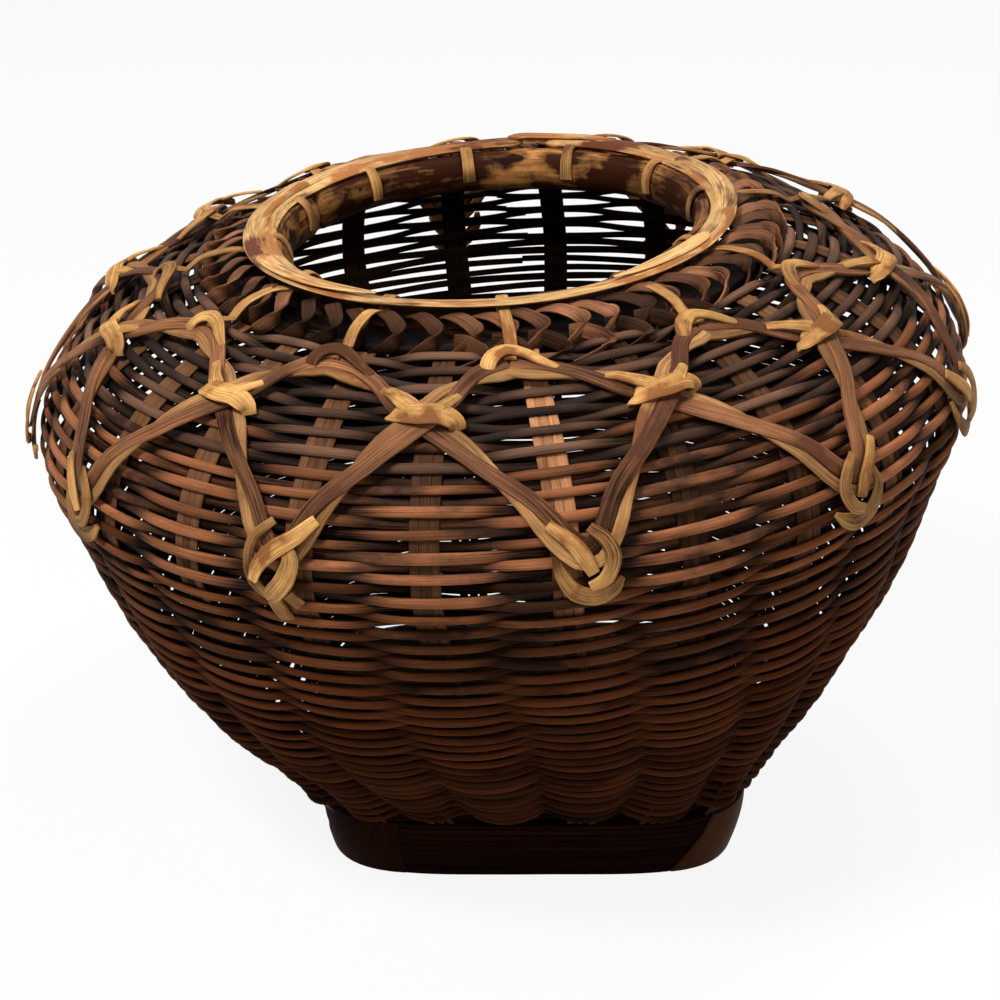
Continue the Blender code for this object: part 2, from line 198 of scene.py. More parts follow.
class Bundle:
    """Many strands gathered into one mesh, with the grain, tone, wear and painted shade of each kept in
    attributes.
    """

    def __init__(self, section, painted_back_brightness=1.0):
        self.section = np.array(section, float)
        self.painted_back_brightness = painted_back_brightness
        self.verts, self.faces, self.grain, self.tone, self.wear = [], [], [], [], []
        self.count = 0

    def add(self, pts, ups, half_width, half_thick, tone=0.5, wear=0.5, side=0.0, twist=None):
        """Run the cross-section along pts, its outer face toward ups."""
        n = len(pts)
        run = np.gradient(pts, axis=0)
        run /= np.linalg.norm(run, axis=1)[:, None] + 1e-12
        across = np.cross(ups, run)
        across /= np.linalg.norm(across, axis=1)[:, None] + 1e-12
        up = np.cross(run, across)
        if twist is not None:
            c, s = np.cos(twist)[:, None], np.sin(twist)[:, None]
            across, up = across * c + up * s, up * c - across * s
        half_width = np.broadcast_to(half_width, n)[:, None, None] * MM
        half_thick = np.broadcast_to(half_thick, n)[:, None, None] * MM
        mid = pts + across * np.broadcast_to(side, n)[:, None] * MM
        sec = self.section
        v = (mid[:, None] + across[:, None] * half_width * sec[None, :, :1]
             + up[:, None] * half_thick * sec[None, :, 1:])
        along = np.concatenate([[0], np.cumsum(np.linalg.norm(np.diff(pts, axis=0), axis=1))]) / MM
        self.skin(v, along, sec[:, 0], sec[:, 1], tone, wear)

    def skin(self, v, along, across, height, tone, wear):
        """Close a strand over its cross-sections; along in millimetres, across and height in half sizes."""
        n, m = v.shape[:2]
        self.verts.append(v.reshape(-1, 3))
        seed = CHANCE.uniform(0, 50)
        g = np.zeros((n, m, 3))
        g[..., 0] = along[:, None] * 0.1 + seed
        g[..., 1] = across
        g[..., 2] = seed + 0.5 * height
        self.grain.append(g.reshape(-1, 3))
        # painted shade: the back of a strand is darker
        painted_back_shade = np.where(height > BACK_FACE, 1.0, self.painted_back_brightness)
        wear = np.asarray(wear, float)
        wear = wear if wear.ndim == 2 else wear.reshape(-1, 1)
        self.tone.append((np.broadcast_to(tone, n)[:, None] * (0.4 + 0.6 * painted_back_shade)).ravel())
        self.wear.append((np.broadcast_to(wear, (n, m)) * painted_back_shade).ravel())
        i = np.arange(n - 1)[:, None] * m
        j = np.arange(m)[None]
        k = (j + 1) % m
        quads = np.stack([i + j, i + k, i + m + k, i + m + j], -1).reshape(-1, 4) + self.count
        self.faces += quads.tolist()
        self.faces.append((np.arange(m)[::-1] + self.count).tolist())
        self.faces.append((np.arange(m) + self.count + (n - 1) * m).tolist())
        self.count += n * m

    def make(self, name, material, slot, nodes=(), crease=55):
        """One piece on the one body, in place of the named solids."""
        me = bpy.data.meshes.new(name)
        me.from_pydata(np.concatenate(self.verts).tolist(), [], self.faces)
        me.polygons.foreach_set("use_smooth", [True] * len(me.polygons))
        me.set_sharp_from_angle(angle=math.radians(crease))
        for key, kind, field, data in (("grain", "FLOAT_VECTOR", "vector", self.grain),
                                       ("tone", "FLOAT", "value", self.tone),
                                       ("wear", "FLOAT", "value", self.wear)):
            me.attributes.new(key, kind, "POINT").data.foreach_set(field, np.concatenate(data).ravel())
        me.materials.append(material)
        ob = bpy.data.objects.new(name, me)
        bpy.context.scene.collection.objects.link(ob)
        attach(ob, "root")
        if nodes:
            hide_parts(*nodes)


# materials

def new_group(name, inputs, outputs):
    g = bpy.data.node_groups.new(name, "ShaderNodeTree")
    for key, kind, value in inputs:
        g.interface.new_socket(key, in_out="INPUT", socket_type=kind).default_value = value
    for key, kind in outputs:
        g.interface.new_socket(key, in_out="OUTPUT", socket_type=kind)
    return g, g.nodes.new("NodeGroupInput").outputs, g.nodes.new("NodeGroupOutput").inputs


def node(tree, kind, links=(), **values):
    """Node whose sockets are linked to other sockets or set to plain values."""
    nd = tree.nodes.new(kind)
    for key, value in values.items():
        setattr(nd, key, value)
    for socket, source in links:
        if hasattr(source, "links"):
            tree.links.new(source, nd.inputs[socket])
        else:
            nd.inputs[socket].default_value = source
    return nd


def maths(tree, operation, *values, clamp=False):
    return node(tree, "ShaderNodeMath", enumerate(values), operation=operation, use_clamp=clamp).outputs[0]


def blend(tree, share, first, second):
    """First colour where share is 0, second where it is 1."""
    return node(tree, "ShaderNodeMix", ((0, share), (6, first), (7, second)), data_type="RGBA").outputs[2]


def cane_group():
    """Colour, height and roughness of split cane from the strand's own grain, tone, and wear and painted
    shade.
    """
    colour, number = "NodeSocketColor", "NodeSocketFloat"
    g, given, out = new_group(
        "cane_grain",
        (("Shade", colour, (0.03, 0.015, 0.01, 1)), ("Skin", colour, (0.2, 0.08, 0.05, 1)),
         ("Patch", colour, (0.1, 0.05, 0.04, 1)), ("Patch Share", number, 0.2), ("Patch Length", number, 0.4),
         ("Patch Across", "NodeSocketVector", (1.0, 0.35, 1.0)), ("Fibre", number, 0.5),
         ("Tone Spread", number, 0.5), ("Blotch", number, 0.0)),
        (("Color", colour), ("Height", number), ("Roughness", number)))
    grain = node(g, "ShaderNodeAttribute", attribute_name="grain").outputs["Vector"]
    tone = node(g, "ShaderNodeAttribute", attribute_name="tone").outputs["Fac"]
    wear = node(g, "ShaderNodeAttribute", attribute_name="wear").outputs["Fac"]

    def noise(stretch, scale, detail, rough):
        at = node(g, "ShaderNodeVectorMath", ((0, grain), (1, stretch)), operation="MULTIPLY").outputs[0]
        sockets = (("Vector", at), ("Scale", scale), ("Detail", detail), ("Roughness", rough))
        return node(g, "ShaderNodeTexNoise", sockets).outputs["Fac"]

    fibre = noise((0.22, 3.2, 1.0), 2.4, 4.0, 0.65)
    patch = noise(given["Patch Across"], given["Patch Length"], 5.0, 0.62)
    blotch = maths(g, "MULTIPLY", maths(g, "ADD", patch, -0.5), given["Blotch"])
    edge = maths(g, "SUBTRACT", 1.0, given["Patch Share"])
    stain = maths(g, "MULTIPLY_ADD", maths(g, "SUBTRACT", patch, edge), 9.0, 0.5, clamp=True)
    # share of skin over shade from grain, blotches, and wear and painted light and shade
    wear_and_light = maths(g, "ADD", maths(g, "MULTIPLY_ADD", fibre, 1.5, -0.75), blotch)
    wear_and_light = maths(g, "ADD", wear_and_light, wear, clamp=True)
    base = blend(g, wear_and_light, given["Shade"], given["Skin"])
    base = blend(g, stain, base, given["Patch"])
    spread = maths(g, "MULTIPLY_ADD", maths(g, "ADD", tone, -0.5), given["Tone Spread"], 1.0)
    lines = maths(g, "MULTIPLY_ADD", maths(g, "ADD", fibre, -0.5), given["Fibre"], 1.0)
    value = maths(g, "MULTIPLY", spread, lines)
    painted = node(g, "ShaderNodeVectorMath", ((0, base), ("Scale", value)), operation="SCALE").outputs[0]
    rough = node(g, "ShaderNodeMapRange", ((0, fibre), (3, 0.42), (4, 0.68))).outputs[0]
    g.links.new(painted, out["Color"])
    g.links.new(fibre, out["Height"])
    g.links.new(rough, out["Roughness"])
    return g


CANE = cane_group()
FIBRE_DEPTH = 0.0004


def cane(name, shade, skin, patch, share, length, spec, fibre=0.8, spread=0.6, blotch=0.0, across=0.35,
         bump=0.35):
    """Cane of one finish: colours in the shade (dark grain and painted shade), on the skin (worn skin and
    painted light) and in the stained patches.
    """
    mat = bpy.data.materials.new(name)
    mat.use_nodes = True
    t = mat.node_tree
    bsdf = t.nodes["Principled BSDF"]
    grp = t.nodes.new("ShaderNodeGroup")
    grp.node_tree = CANE
    for key, value in (("Shade", (*shade, 1)), ("Skin", (*skin, 1)), ("Patch", (*patch, 1)),
                       ("Patch Share", share), ("Patch Length", length),
                       ("Patch Across", (1.0, across, across)), ("Fibre", fibre), ("Tone Spread", spread),
                       ("Blotch", blotch)):
        grp.inputs[key].default_value = value
    t.links.new(grp.outputs["Color"], bsdf.inputs["Base Color"])
    t.links.new(grp.outputs["Roughness"], bsdf.inputs["Roughness"])
    relief = node(t, "ShaderNodeBump", (("Strength", bump), ("Distance", FIBRE_DEPTH),
                                        ("Height", grp.outputs["Height"])))
    t.links.new(relief.outputs["Normal"], bsdf.inputs["Normal"])
    bsdf.inputs["Specular IOR Level"].default_value = spec
    return mat


# painted shade: lower_cane and belly_cane are darker copies of shoulder_cane, for the parts toward the bottom
LOWER_CANE = cane(
    "lower_cane", shade=(0.003, 0.001, 0.0004), skin=(0.064, 0.0185, 0.006), patch=(0.013, 0.004, 0.0015),
    share=0.40, length=0.14, spec=0.01, fibre=1.1, spread=1.2, blotch=0.9)
BELLY_CANE = cane(
    "belly_cane", shade=(0.007, 0.0027, 0.0013), skin=(0.142, 0.047, 0.0165), patch=(0.022, 0.009, 0.0045),
    share=0.44, length=0.16, spec=0.015, fibre=1.2, spread=1.3, blotch=1.4)
SHOULDER_CANE = cane(
    "shoulder_cane", shade=(0.010, 0.0048, 0.0028), skin=(0.245, 0.088, 0.036), patch=(0.030, 0.0145, 0.009),
    share=0.44, length=0.16, spec=0.04, fibre=1.3, spread=1.3, blotch=1.6)
NECK_CANE = cane(
    "neck_cane", shade=(0.005, 0.0025, 0.0015), skin=(0.105, 0.052, 0.031), patch=(0.022, 0.013, 0.010),
    share=0.46, length=0.14, spec=0.04, fibre=1.3, spread=1.3, blotch=1.6)
STAKE_SPLINT = cane(
    "stake_splint", shade=(0.03, 0.012, 0.006), skin=(0.37, 0.165, 0.074), patch=(0.06, 0.024, 0.012),
    share=0.42, length=0.12, spec=0.03, fibre=1.1, spread=1.75)
STRAW = cane(
    "straw_strip", shade=(0.080, 0.026, 0.008), skin=(0.62, 0.33, 0.105), patch=(0.19, 0.072, 0.021),
    share=0.46, length=0.36, spec=0.08, fibre=1.5, blotch=2.6, bump=0.45)
LATTICE_STRAW = cane(
    "lattice_straw", shade=(0.070, 0.025, 0.009), skin=(0.52, 0.27, 0.098), patch=(0.16, 0.060, 0.021),
    share=0.46, length=0.16, spec=0.08, fibre=1.5, blotch=2.6, bump=0.45)
LATTICE_BROWN = cane(
    "lattice_brown", shade=(0.014, 0.005, 0.003), skin=(0.32, 0.132, 0.058), patch=(0.10, 0.037, 0.019),
    share=0.44, length=0.16, spec=0.05, fibre=2.3, blotch=2.0, bump=0.7)
PLAIT_BROWN = cane(
    "plait_brown", shade=(0.006, 0.002, 0.001), skin=(0.215, 0.088, 0.040), patch=(0.055, 0.022, 0.012),
    share=0.40, length=0.3, spec=0.05, fibre=2.0, spread=1.5, blotch=2.0, bump=0.6)
HOOP_CANE = cane(
    "hoop_cane", shade=(0.030, 0.008, 0.003), skin=(0.47, 0.205, 0.062), patch=(0.016, 0.004, 0.002),
    share=0.42, length=0.55, spec=0.04, fibre=1.1, blotch=3.6, across=1.7, bump=0.5)
CAP_CANE = cane(
    "cap_cane", shade=(0.10, 0.028, 0.012), skin=(0.78, 0.48, 0.19), patch=(0.34, 0.13, 0.040),
    share=0.47, length=0.42, spec=0.07, fibre=0.9, blotch=3.2, across=1.5, bump=0.45)
FOOT_CANE = cane(
    "foot_cane", shade=(0.002, 0.0007, 0.0004), skin=(0.013, 0.0035, 0.0015), patch=(0.005, 0.0015, 0.0008),
    share=0.3, length=0.1, spec=0.01)
SPLINT_CANE = cane(
    "splint_cane", shade=(0.002, 0.0008, 0.0005), skin=(0.060, 0.022, 0.009), patch=(0.014, 0.005, 0.0025),
    share=0.3, length=0.3, spec=0.02, spread=1.8)


# wall

# distances along the profile of the rows that lie flat on the bottom, and of the first woven one
FLAT_ROWS, FIRST_ROW = (0.6, 3.0), 4.9
# the wefts' material changes about these heights, a row earlier or later; the lower and belly materials are
# darker, painted shade toward the bottom
BELLY_FROM, SHOULDER_FROM, NECK_FROM, CHANGE_WITHIN = 108, 138, 171, 7


def weft_rows():
    """Distances of the woven rows along the profile, close below and opener near the mouth."""
    rows, s = [], FIRST_ROW
    end = run_at(WALL_TOP)
    while s < end:
        rows.append(s)
        z = height_at(s)
        s += 2.4 + 0.3 * ramp(z, 60, 90) + 0.38 * ramp(z, 92, 122) + 0.45 * ramp(z, 168, 182)
    return rows


def weft_width(z, lift, behind):
    """Half width of a strand: slim in the close weave, full where the shoulder starts to turn."""
    turning = ramp(z, 84, 94) * (1 - ramp(z, 124, 140)) * (1 - behind)
    return 1.48 - 0.32 * ramp(z, 96, 80) - 0.1 * ramp(z, 60, 30) + 0.15 * turning + 0.12 * np.abs(lift)


def wefts():
    """Plain weave: each half-round strand passes over one stake and under the next."""
    low, belly, mid, neck = (Bundle(HALF_ROUND, painted_back_brightness=0.1) for _ in range(4))
    n = STAKES * 10 + 1
    for s in FLAT_ROWS:
        p, u = on_body(np.linspace(0, 2 * math.pi, n), np.full(n, s), -1.0)
        # painted shade: the flat rows get the darkest tone and the shade colour
        low.add(p, u, 1.6, 1.0, tone=0.0, wear=0.0)
    for j, s in enumerate(weft_rows()):
        z = height_at(s)
        a = np.linspace(0, 2 * math.pi, n) + math.pi + math.radians(CHANCE.uniform(-9, 9))
        turn = STAKES / 2 * (a - STAKE_ZERO)
        # neighbouring stakes differ, so one stake pitch is half a wave
        wave = np.cos(turn + wander(n, 0.22, 10)) * (-1) ** j
        lift = np.tanh(1.5 * wave) / math.tanh(1.5)
        close = float(ramp(z, 114, 84))
        off = lobe(a, s) + (1.5 - 0.3 * close) * lift + wander(n, 0.2)
        sag = (0.22 - 0.12 * close) * np.sin(turn / 2 + CHANCE.uniform(0, 6))
        sag = sag + wander(n, 0.42 - 0.3 * close, 12)
        bow = 0.5 * close * (0.5 - np.abs(np.cos(turn)))
        p, u = on_body(a, s + sag + bow, off)
        # slimmer strands at the back let more light through
        behind = ramp(np.cos(a), 0.25, -0.35)
        slim = 1 - ramp(z, 96, 108) * (0.05 + 0.17 * behind)
        thick = (1 + CHANCE.uniform(-0.1, 0.1) + wander(n, 0.07)) * slim
        mark = z + CHANCE.uniform(-CHANGE_WITHIN, CHANGE_WITHIN)
        # painted light and shade: the floats over a stake get the skin colour, the ends that dip under the
        # stakes the shade colour; the wander is random unevenness
        wear_and_light = 0.12 + 0.8 * smooth((wave + 0.25 + 0.5 * close) / (1.1 + 0.4 * close)) + wander(n, 0.2, 14)
        tone = 0.15 + 0.85 * CHANCE.random()
        if mark < BELLY_FROM:
            bundle = low
            # painted shade: the tone darkens toward the foot
            tone = tone * (0.25 + 0.75 * ramp(z, 25, 100)) + 0.35 * ramp(z, 90, 112)
        else:
            bundle = belly if mark < SHOULDER_FROM else (neck if mark > NECK_FROM else mid)
            # painted shade: the tone darkens below the shoulder
            painted_light = ramp(z, 96, 132)
            tone = tone * painted_light + 0.05 * (1 - painted_light)
        half_width = weft_width(z, lift, behind) * thick
        bundle.add(p, u, half_width, (0.95 + 0.25 * close) * thick, tone=tone, wear=wear_and_light)
    low.make("wefts_lower", LOWER_CANE, "dark_weft", ("wall_lower",))
    belly.make("wefts_belly", BELLY_CANE, "brown_weft")
    mid.make("wefts_shoulder", SHOULDER_CANE, "brown_weft", ("wall_shoulder",))
    neck.make("wefts_neck", NECK_CANE, "brown_weft")


# brightness of the stakes near the front, counted from the middle one; one of them is pale
STAKE_TONES = {-2: 0.3, -1: 0.2, 0: 0.1, 1: 1.0, 2: 0.02, 3: 0.08, 4: 0.3}
PALE_STAKE = 1
STRIPS_PER_STAKE, STRIP_PITCH, STRIP_HALF_WIDTH = 3, 2.8, 1.46


def stakes():
    """Flat upright strips side by side behind the wefts, dark below the shoulder."""
    b = Bundle(FLAT, painted_back_brightness=0.1)
    n = 90
    s = np.linspace(0.6, run_at(188.2), n)
    for k in range(STAKES):
        a0 = STAKE_ZERO + 2 * math.pi * k / STAKES
        r = profile(s)[0]
        drift = wander(n, 0.9, 20)
        wrapped = (k + STAKES // 2) % STAKES - STAKES // 2
        seen = run_at(126 if wrapped == PALE_STAKE else 116)
        shown = ramp(s, seen, seen + 14)
        tone = STAKE_TONES.get(wrapped, CHANCE.uniform(0.02, 0.3)) * (0.05 + 0.95 * shown)
        narrow = 1 - 0.25 * ramp(s, RUN[-1] - 40, RUN[-1])
        for q in range(STRIPS_PER_STAKE):
            x = (q - 1) * STRIP_PITCH * narrow + drift + wander(n, 0.07, 12)
            p, u = on_body(a0 + x / r, s, lobe(np.full(n, a0), s) + wander(n, 0.1))
            strip_tone = np.clip(tone + CHANCE.uniform(-0.08, 0.08), 0, 1)
            b.add(p, u, STRIP_HALF_WIDTH * narrow, 0.42, tone=strip_tone, wear=0.6 * (0.3 + 0.7 * shown))
    b.make("stakes", STAKE_SPLINT, "brown_weft")


# foot

FOOT_WRAPS, BAND_TOP = 10, 21.0
FOOT_LINING, FOOT_EDGE = 61.8, 68.0
# a corner splint's left edge below, its slant for each millimetre up, and its right edge, in degrees
SPLINT_LEFT, SPLINT_SLANT, SPLINT_RIGHT = 10.5, 0.38, 13.5
# the bottom's splints: pitch, half width, half size of the bottom, its squareness and height
BOTTOM_PITCH, BOTTOM_STRIP, BOTTOM_HALF, BOTTOM_SQUARENESS, BOTTOM_Z = 8.6, 4.22, 66.5, 3.9, 21.4


def foot_half(z):
    """Half width of the foot, which flares toward its top."""
    flare = np.sin(math.pi / 2 * np.minimum(z, FOOT_HEIGHT) / FOOT_HEIGHT)
    return FOOT_HALF_BOTTOM + (FOOT_HALF_TOP - FOOT_HALF_BOTTOM) * flare


def foot_point(a, w, z):
    p = ring_point(a, w * squircle(a, FOOT_SQUARENESS), 0.0)
    p[..., 2] += z * MM
    return p


def even_turns(n):
    """Angles that pass the foot's corners in even steps of length."""
    a = np.linspace(0, 2 * math.pi, 2001) + math.pi
    r = squircle(a, FOOT_SQUARENESS)
    x, y = r * np.sin(a), r * np.cos(a)
    d = np.concatenate([[0], np.cumsum(np.hypot(np.diff(x), np.diff(y)))])
    return np.interp(np.linspace(0, d[-1], n), d, a)


def foot():
    """Flat splints wrapped round the foot, with a lining and an edge strip on top."""
    b = Bundle(FLAT)
    n = 200
    a = even_turns(n)
    pitch = BAND_TOP / FOOT_WRAPS
    for k in range(FOOT_WRAPS):
        z = pitch * (k + 0.5)
        p = foot_point(a, foot_half(z) - 0.9 + wander(n, 0.15), np.full(n, z) + wander(n, 0.06))
        q = foot_point(a, foot_half(z) + 1.0, np.full(n, z))
        b.add(p, q - p, pitch * 0.47, 1.0, tone=CHANCE.random(), wear=0.55 + wander(n, 0.3, 14))
    middle = np.full(n, FOOT_HEIGHT / 2)
    lining = foot_point(a, FOOT_LINING, middle)
    outward = foot_point(a, FOOT_LINING + 1.2, middle) - lining
    b.add(lining, outward, FOOT_HEIGHT / 2 - 0.1, 1.6, tone=0.2, wear=0.1)
    edge = foot_point(a, FOOT_EDGE, np.full(n, BAND_TOP - 0.7))
    b.add(edge, np.tile([0, 0, 1.0], (n, 1)), 1.9, 0.6, tone=0.5, wear=0.5)
    b.make("foot_wraps", FOOT_CANE, "foot_brown", ("foot_band",))


def corner_splints():
    """A flat splint bent round each corner, its left edge cut slanting."""
    for k in range(4):
        corner = math.radians(45 + 90 * k)
        b = Bundle(FLAT)
        n, m = 12, 14
        z = 0.5 + (BAND_TOP - 0.7) * np.linspace(0, 1, n)
        left = corner - np.radians(SPLINT_LEFT - SPLINT_SLANT * z)
        share = np.linspace(0, 1, m)
        a = left[:, None] + (corner + math.radians(SPLINT_RIGHT) - left)[:, None] * share
        deep = 0.45 + 0.75 * np.sin(math.pi * np.clip(share * 0.94 + 0.03, 0, 1)) ** 0.3
        face = foot_point(a, foot_half(z)[:, None] + deep, z[:, None])
        back = foot_point(a, foot_half(z)[:, None] + 0.15, z[:, None])
        around = np.concatenate([2 * share - 1, 1 - 2 * share])
        both = np.concatenate([face, back[:, ::-1]], 1)
        b.skin(both, z, around * 2.5, np.repeat([1.0, -1.0], m), 0.75, 0.7)
        # the one at the right of the front is the lightest
        material = SPLINT_CANE if k == 0 else FOOT_CANE
        b.make("corner_splints_%d" % (k + 1), material, "foot_brown", ("foot_corner_splint_%d" % (k + 1),))


def base_weave():
    """Flat splints crossing over and under to close the bottom."""
    b = Bundle(FLAT, painted_back_brightness=0.3)
    for way in (0, 1):
        for i in range(-7, 8):
            c = i * BOTTOM_PITCH
            corner = max(1 - abs(c / BOTTOM_HALF) ** BOTTOM_SQUARENESS, 0)
            reach = BOTTOM_HALF * corner ** (1 / BOTTOM_SQUARENESS)
            n = 53
            t = np.linspace(-reach, reach, n)
            lift = 0.55 * np.cos(math.pi * t / BOTTOM_PITCH) * (1 if (i + way) % 2 == 0 else -1)
            x, y = (t, np.full(n, c)) if way == 0 else (np.full(n, c), t)
            p = settle(x, y, BOTTOM_Z + lift)
            up = np.tile([0, 0, 1.0], (n, 1))
            b.add(p, up, BOTTOM_STRIP, 0.4, tone=0.3 * CHANCE.random(), wear=0.3)
    b.make("base_weave", NECK_CANE, "dark_weft", ("base_floor",))


# mouth

# middle of the hoop's section and its half sizes, as in the CAD model
HOOP_RADIUS, HOOP_Z, HOOP_A, HOOP_B = 67.2, 191.7, 4.2, 7.0
CAP_A, CAP_B = 3.4, 3.2
CAP_RADIUS, CAP_Z = RIM_OUTER_RADIUS - CAP_A, RIM_TOP - CAP_B
# the two lengths of the hoop: piece, first and last degree, size, solid
HOOP_LENGTHS = (("hoop_front", -119.7, 94.6, 1.0, "rim_hoop_front"),
                ("hoop_back", 95.4, 239.7, 0.97, "rim_hoop_back"))
# the cap strip starts at the back and meets itself there
CAP_START, CAP_TURN = 172, 354
# share of pale skin left on the cane, by degrees round from the front
HOOP_SKIN = ((-180, -0.1), (-150, -0.1), (-140, 0.15), (-118, 0.35), (-100, 0.3), (-75, 0.3), (-60, 0.1),
             (0, -0.2), (50, 0.0), (75, 0.3), (95, 0.2), (110, -0.05), (122, -0.05), (127, 0.4), (135, 0.4),
             (138, -0.3), (150, -0.3), (152, 0.5), (158, 0.45), (162, 0.1), (165, 0.75), (176, 0.75),
             (180, -0.1))
CAP_SKIN = ((-180, 0.1), (-172, -0.1), (-158, 0.0), (-150, 0.5), (-125, 0.75), (-80, 0.7), (-74, 0.0),
            (-64, 0.05), (-60, 0.8), (-40, 0.55), (-18, 0.75), (-13, 0.5), (-8, 0.75), (60, 0.8), (100, 0.7),
            (125, 0.5), (142, 0.4), (146, -0.1), (155, -0.1), (158, 0.6), (172, 0.7), (180, 0.1))
# half width across the mouth's edge, by degrees round from the front
CAP_WIDTH = ((-180, 4.6), (-150, 5.6), (-118, 5.8), (-80, 5.6), (-60, 4.8), (-35, 4.0), (25, 3.8), (50, 4.0),
             (80, 4.4), (120, 5.0), (150, 4.6), (180, 4.6))
# how far the front of the mouth lies below the rest, by degrees round from the front
MOUTH_SAG = ((-180, 0), (-85, 0), (-60, 0.9), (-25, 2.2), (30, 2.2), (60, 0.9), (85, 0), (180, 0))
# split layers of the cap's cane, lying over its joints:
# first and last degree, inward, upward, half width, half height, degrees of the tapers, tone, roll
CAP_LAYERS = ((-69, -26, 0.6, 0.7, 2.8, 0.9, (2.5, 36), 0.8, 0.0),
              (30, 64, 0.8, 0.7, 2.7, 0.9, (30, 6), 0.8, 0.0),
              (146, 176, 1.0, 1.7, 3.4, 1.2, (12, 5), 0.5, 0.2),
              (78, 124, 1.5, 0.9, 3.8, 1.7, (12, 3), 0.5, 0.2),
              (-124, -82, 1.5, 0.9, 4.0, 1.6, (3, 14), 0.5, 0.2))
DEGREES_PER_STEP = 1.6


def by_degrees(stops, degrees):
    """Value between the stops at an angle round from the front."""
    turned = (np.asarray(degrees) + 180) % 360 - 180
    return np.interp(turned, [d for d, _ in stops], [v for _, v in stops])


def steps_between(start, end):
    return int(abs(end - start) / DEGREES_PER_STEP) + 3


def mouth_strand(bundle, start, end, radius, z, half_r, half_z, skin, ends, tone=0.5, swell=0.05, roll=0.0):
    """Length of cane bent round the mouth; its ends narrow over the given degrees."""
    n = len(half_r) if np.ndim(half_r) else steps_between(start, end)
    deg = np.linspace(start, end, n)
    a = np.radians(deg)
    radius, z = np.broadcast_to(radius, n), np.broadcast_to(z, n)
    r = radius + wander(n, 0.55, 11)
    h = z + wander(n, 0.4, 13)
    p = ring_point(a, r, h)
    up = ring_point(a, radius + 2.0 * np.sin(roll), z + 2.0 * np.cos(roll)) - ring_point(a, radius, z)
    near = np.clip(np.minimum((deg - start) / ends[0], (end - deg) / ends[1]), 0.03, 1)
    size = np.sqrt(near * (2 - near)) * (1 + wander(n, swell, 12))
    # the edges of the stained places run aslant and ragged round the cane
    ragged = np.stack([wander(n, 3.5, 5) for _ in bundle.section], 1)
    stain_at = deg[:, None] + 5 * bundle.section[:, 1] + ragged
    bundle.add(p, up, half_r * size, half_z * size * (1 + wander(n, 0.04, 8)), tone=tone + wander(n, 0.2, 8),
               wear=by_degrees(skin, stain_at))


def mouth():
    """Mottled hoop in two lengths, and the split cap strip that lies on it."""
    for name, start, end, size, solid in HOOP_LENGTHS:
        hoop = Bundle(ROUND)
        along = np.linspace(start, end, steps_between(start, end))
        z = HOOP_Z - 1.2 * by_degrees(MOUTH_SAG, along)
        mouth_strand(hoop, start, end, HOOP_RADIUS, z, HOOP_A * size, HOOP_B * size, HOOP_SKIN, (2.5, 2.5))
        hoop.make(name, HOOP_CANE, "hoop_brown", (solid,), crease=80)
    cap = Bundle(ROUND)
    end = CAP_START + CAP_TURN
    along = np.linspace(CAP_START, end, steps_between(CAP_START, end))
    wide, sag = by_degrees(CAP_WIDTH, along), by_degrees(MOUTH_SAG, along)
    mouth_strand(cap, CAP_START, end, CAP_RADIUS + 2.8 - wide * 0.95, CAP_Z + 0.1 - sag * 0.75, wide,
                 1.7 - sag * 0.38, CAP_SKIN, (4, 4), swell=0.16, roll=0.06 - sag * 0.09)
    for start, end, inward, upward, half_r, half_z, ends, tone, roll in CAP_LAYERS:
        mouth_strand(cap, start, end, CAP_RADIUS - inward, CAP_Z + upward, half_r, half_z, CAP_SKIN, ends,
                     tone=tone, roll=roll)
    cap.make("cap_strip", CAP_CANE, "straw", ("rim_cap_strip",), crease=80)


# plait

PLAIT_FOLDS = 52
FOLD_TURN = 2 * math.pi / PLAIT_FOLDS
FOLD_HALF_WIDTH = 2.3
# radius and height of the core that the folds go round, and of the middle that they face away from
CORE_RADIUS, CORE_Z = 81.5, 188.7
MIDDLE_RADIUS, MIDDLE_Z = 82.5, 188.6
# path of a fold: share of a fold sideways, radius, height, and 1 where the height is uneven
UPPER_FOLD = ((-0.50, 75.0, 194.0, 0), (-0.22, 77.4, 195.4, 1), (0.12, 80.6, 195.8, 1),
              (0.46, 84.2, 194.8, 1), (0.64, 86.8, 193.4, 0), (0.54, 89.0, 191.8, 0),
              (0.30, 90.2, 190.0, 0), (0.02, 90.4, 188.2, 0), (-0.25, 89.8, 186.8, 0))
LOWER_FOLD = ((-0.30, 87.5, 191.4), (0.05, 90.0, 191.6), (0.40, 92.8, 190.4), (0.58, 94.6, 189.2),
              (0.40, 96.0, 188.0), (0.0, 97.0, 186.6), (-0.45, 97.2, 185.2))
# the second tier lies at the right of the front
LOWER_TIER = range(-1, 6)


def fold_strip(bundle, a0, points, tone, turn_over):
    """Flat strip folded over the plait's core: points give the share of a fold, the radius and the height."""
    fine = flow(points, 4)
    n = len(fine)
    a, r, z = a0 + FOLD_TURN * fine[:, 0], fine[:, 1], fine[:, 2]
    out = np.stack([r - MIDDLE_RADIUS, (z - MIDDLE_Z) * 1.6], -1)
    out /= np.linalg.norm(out, axis=1)[:, None]
    p = ring_point(a, r, z)
    up = ring_point(a, r + out[:, 0], z + out[:, 1]) - p
    share = np.linspace(0, 1, n)
    shape = np.interp(share, (0, 0.15, 0.5, 0.85, 1), (0.8, 1, 1.05, 1, 0.7))
    half_width = FOLD_HALF_WIDTH * shape * (1 + wander(n, 0.08, 5))
    bend = np.interp(share, (0, 0.38, 0.52, 0.66, 1), turn_over)
    bundle.add(p, up, half_width, 0.4, tone=tone, wear=0.6 + wander(n, 0.25, 4), twist=bend)


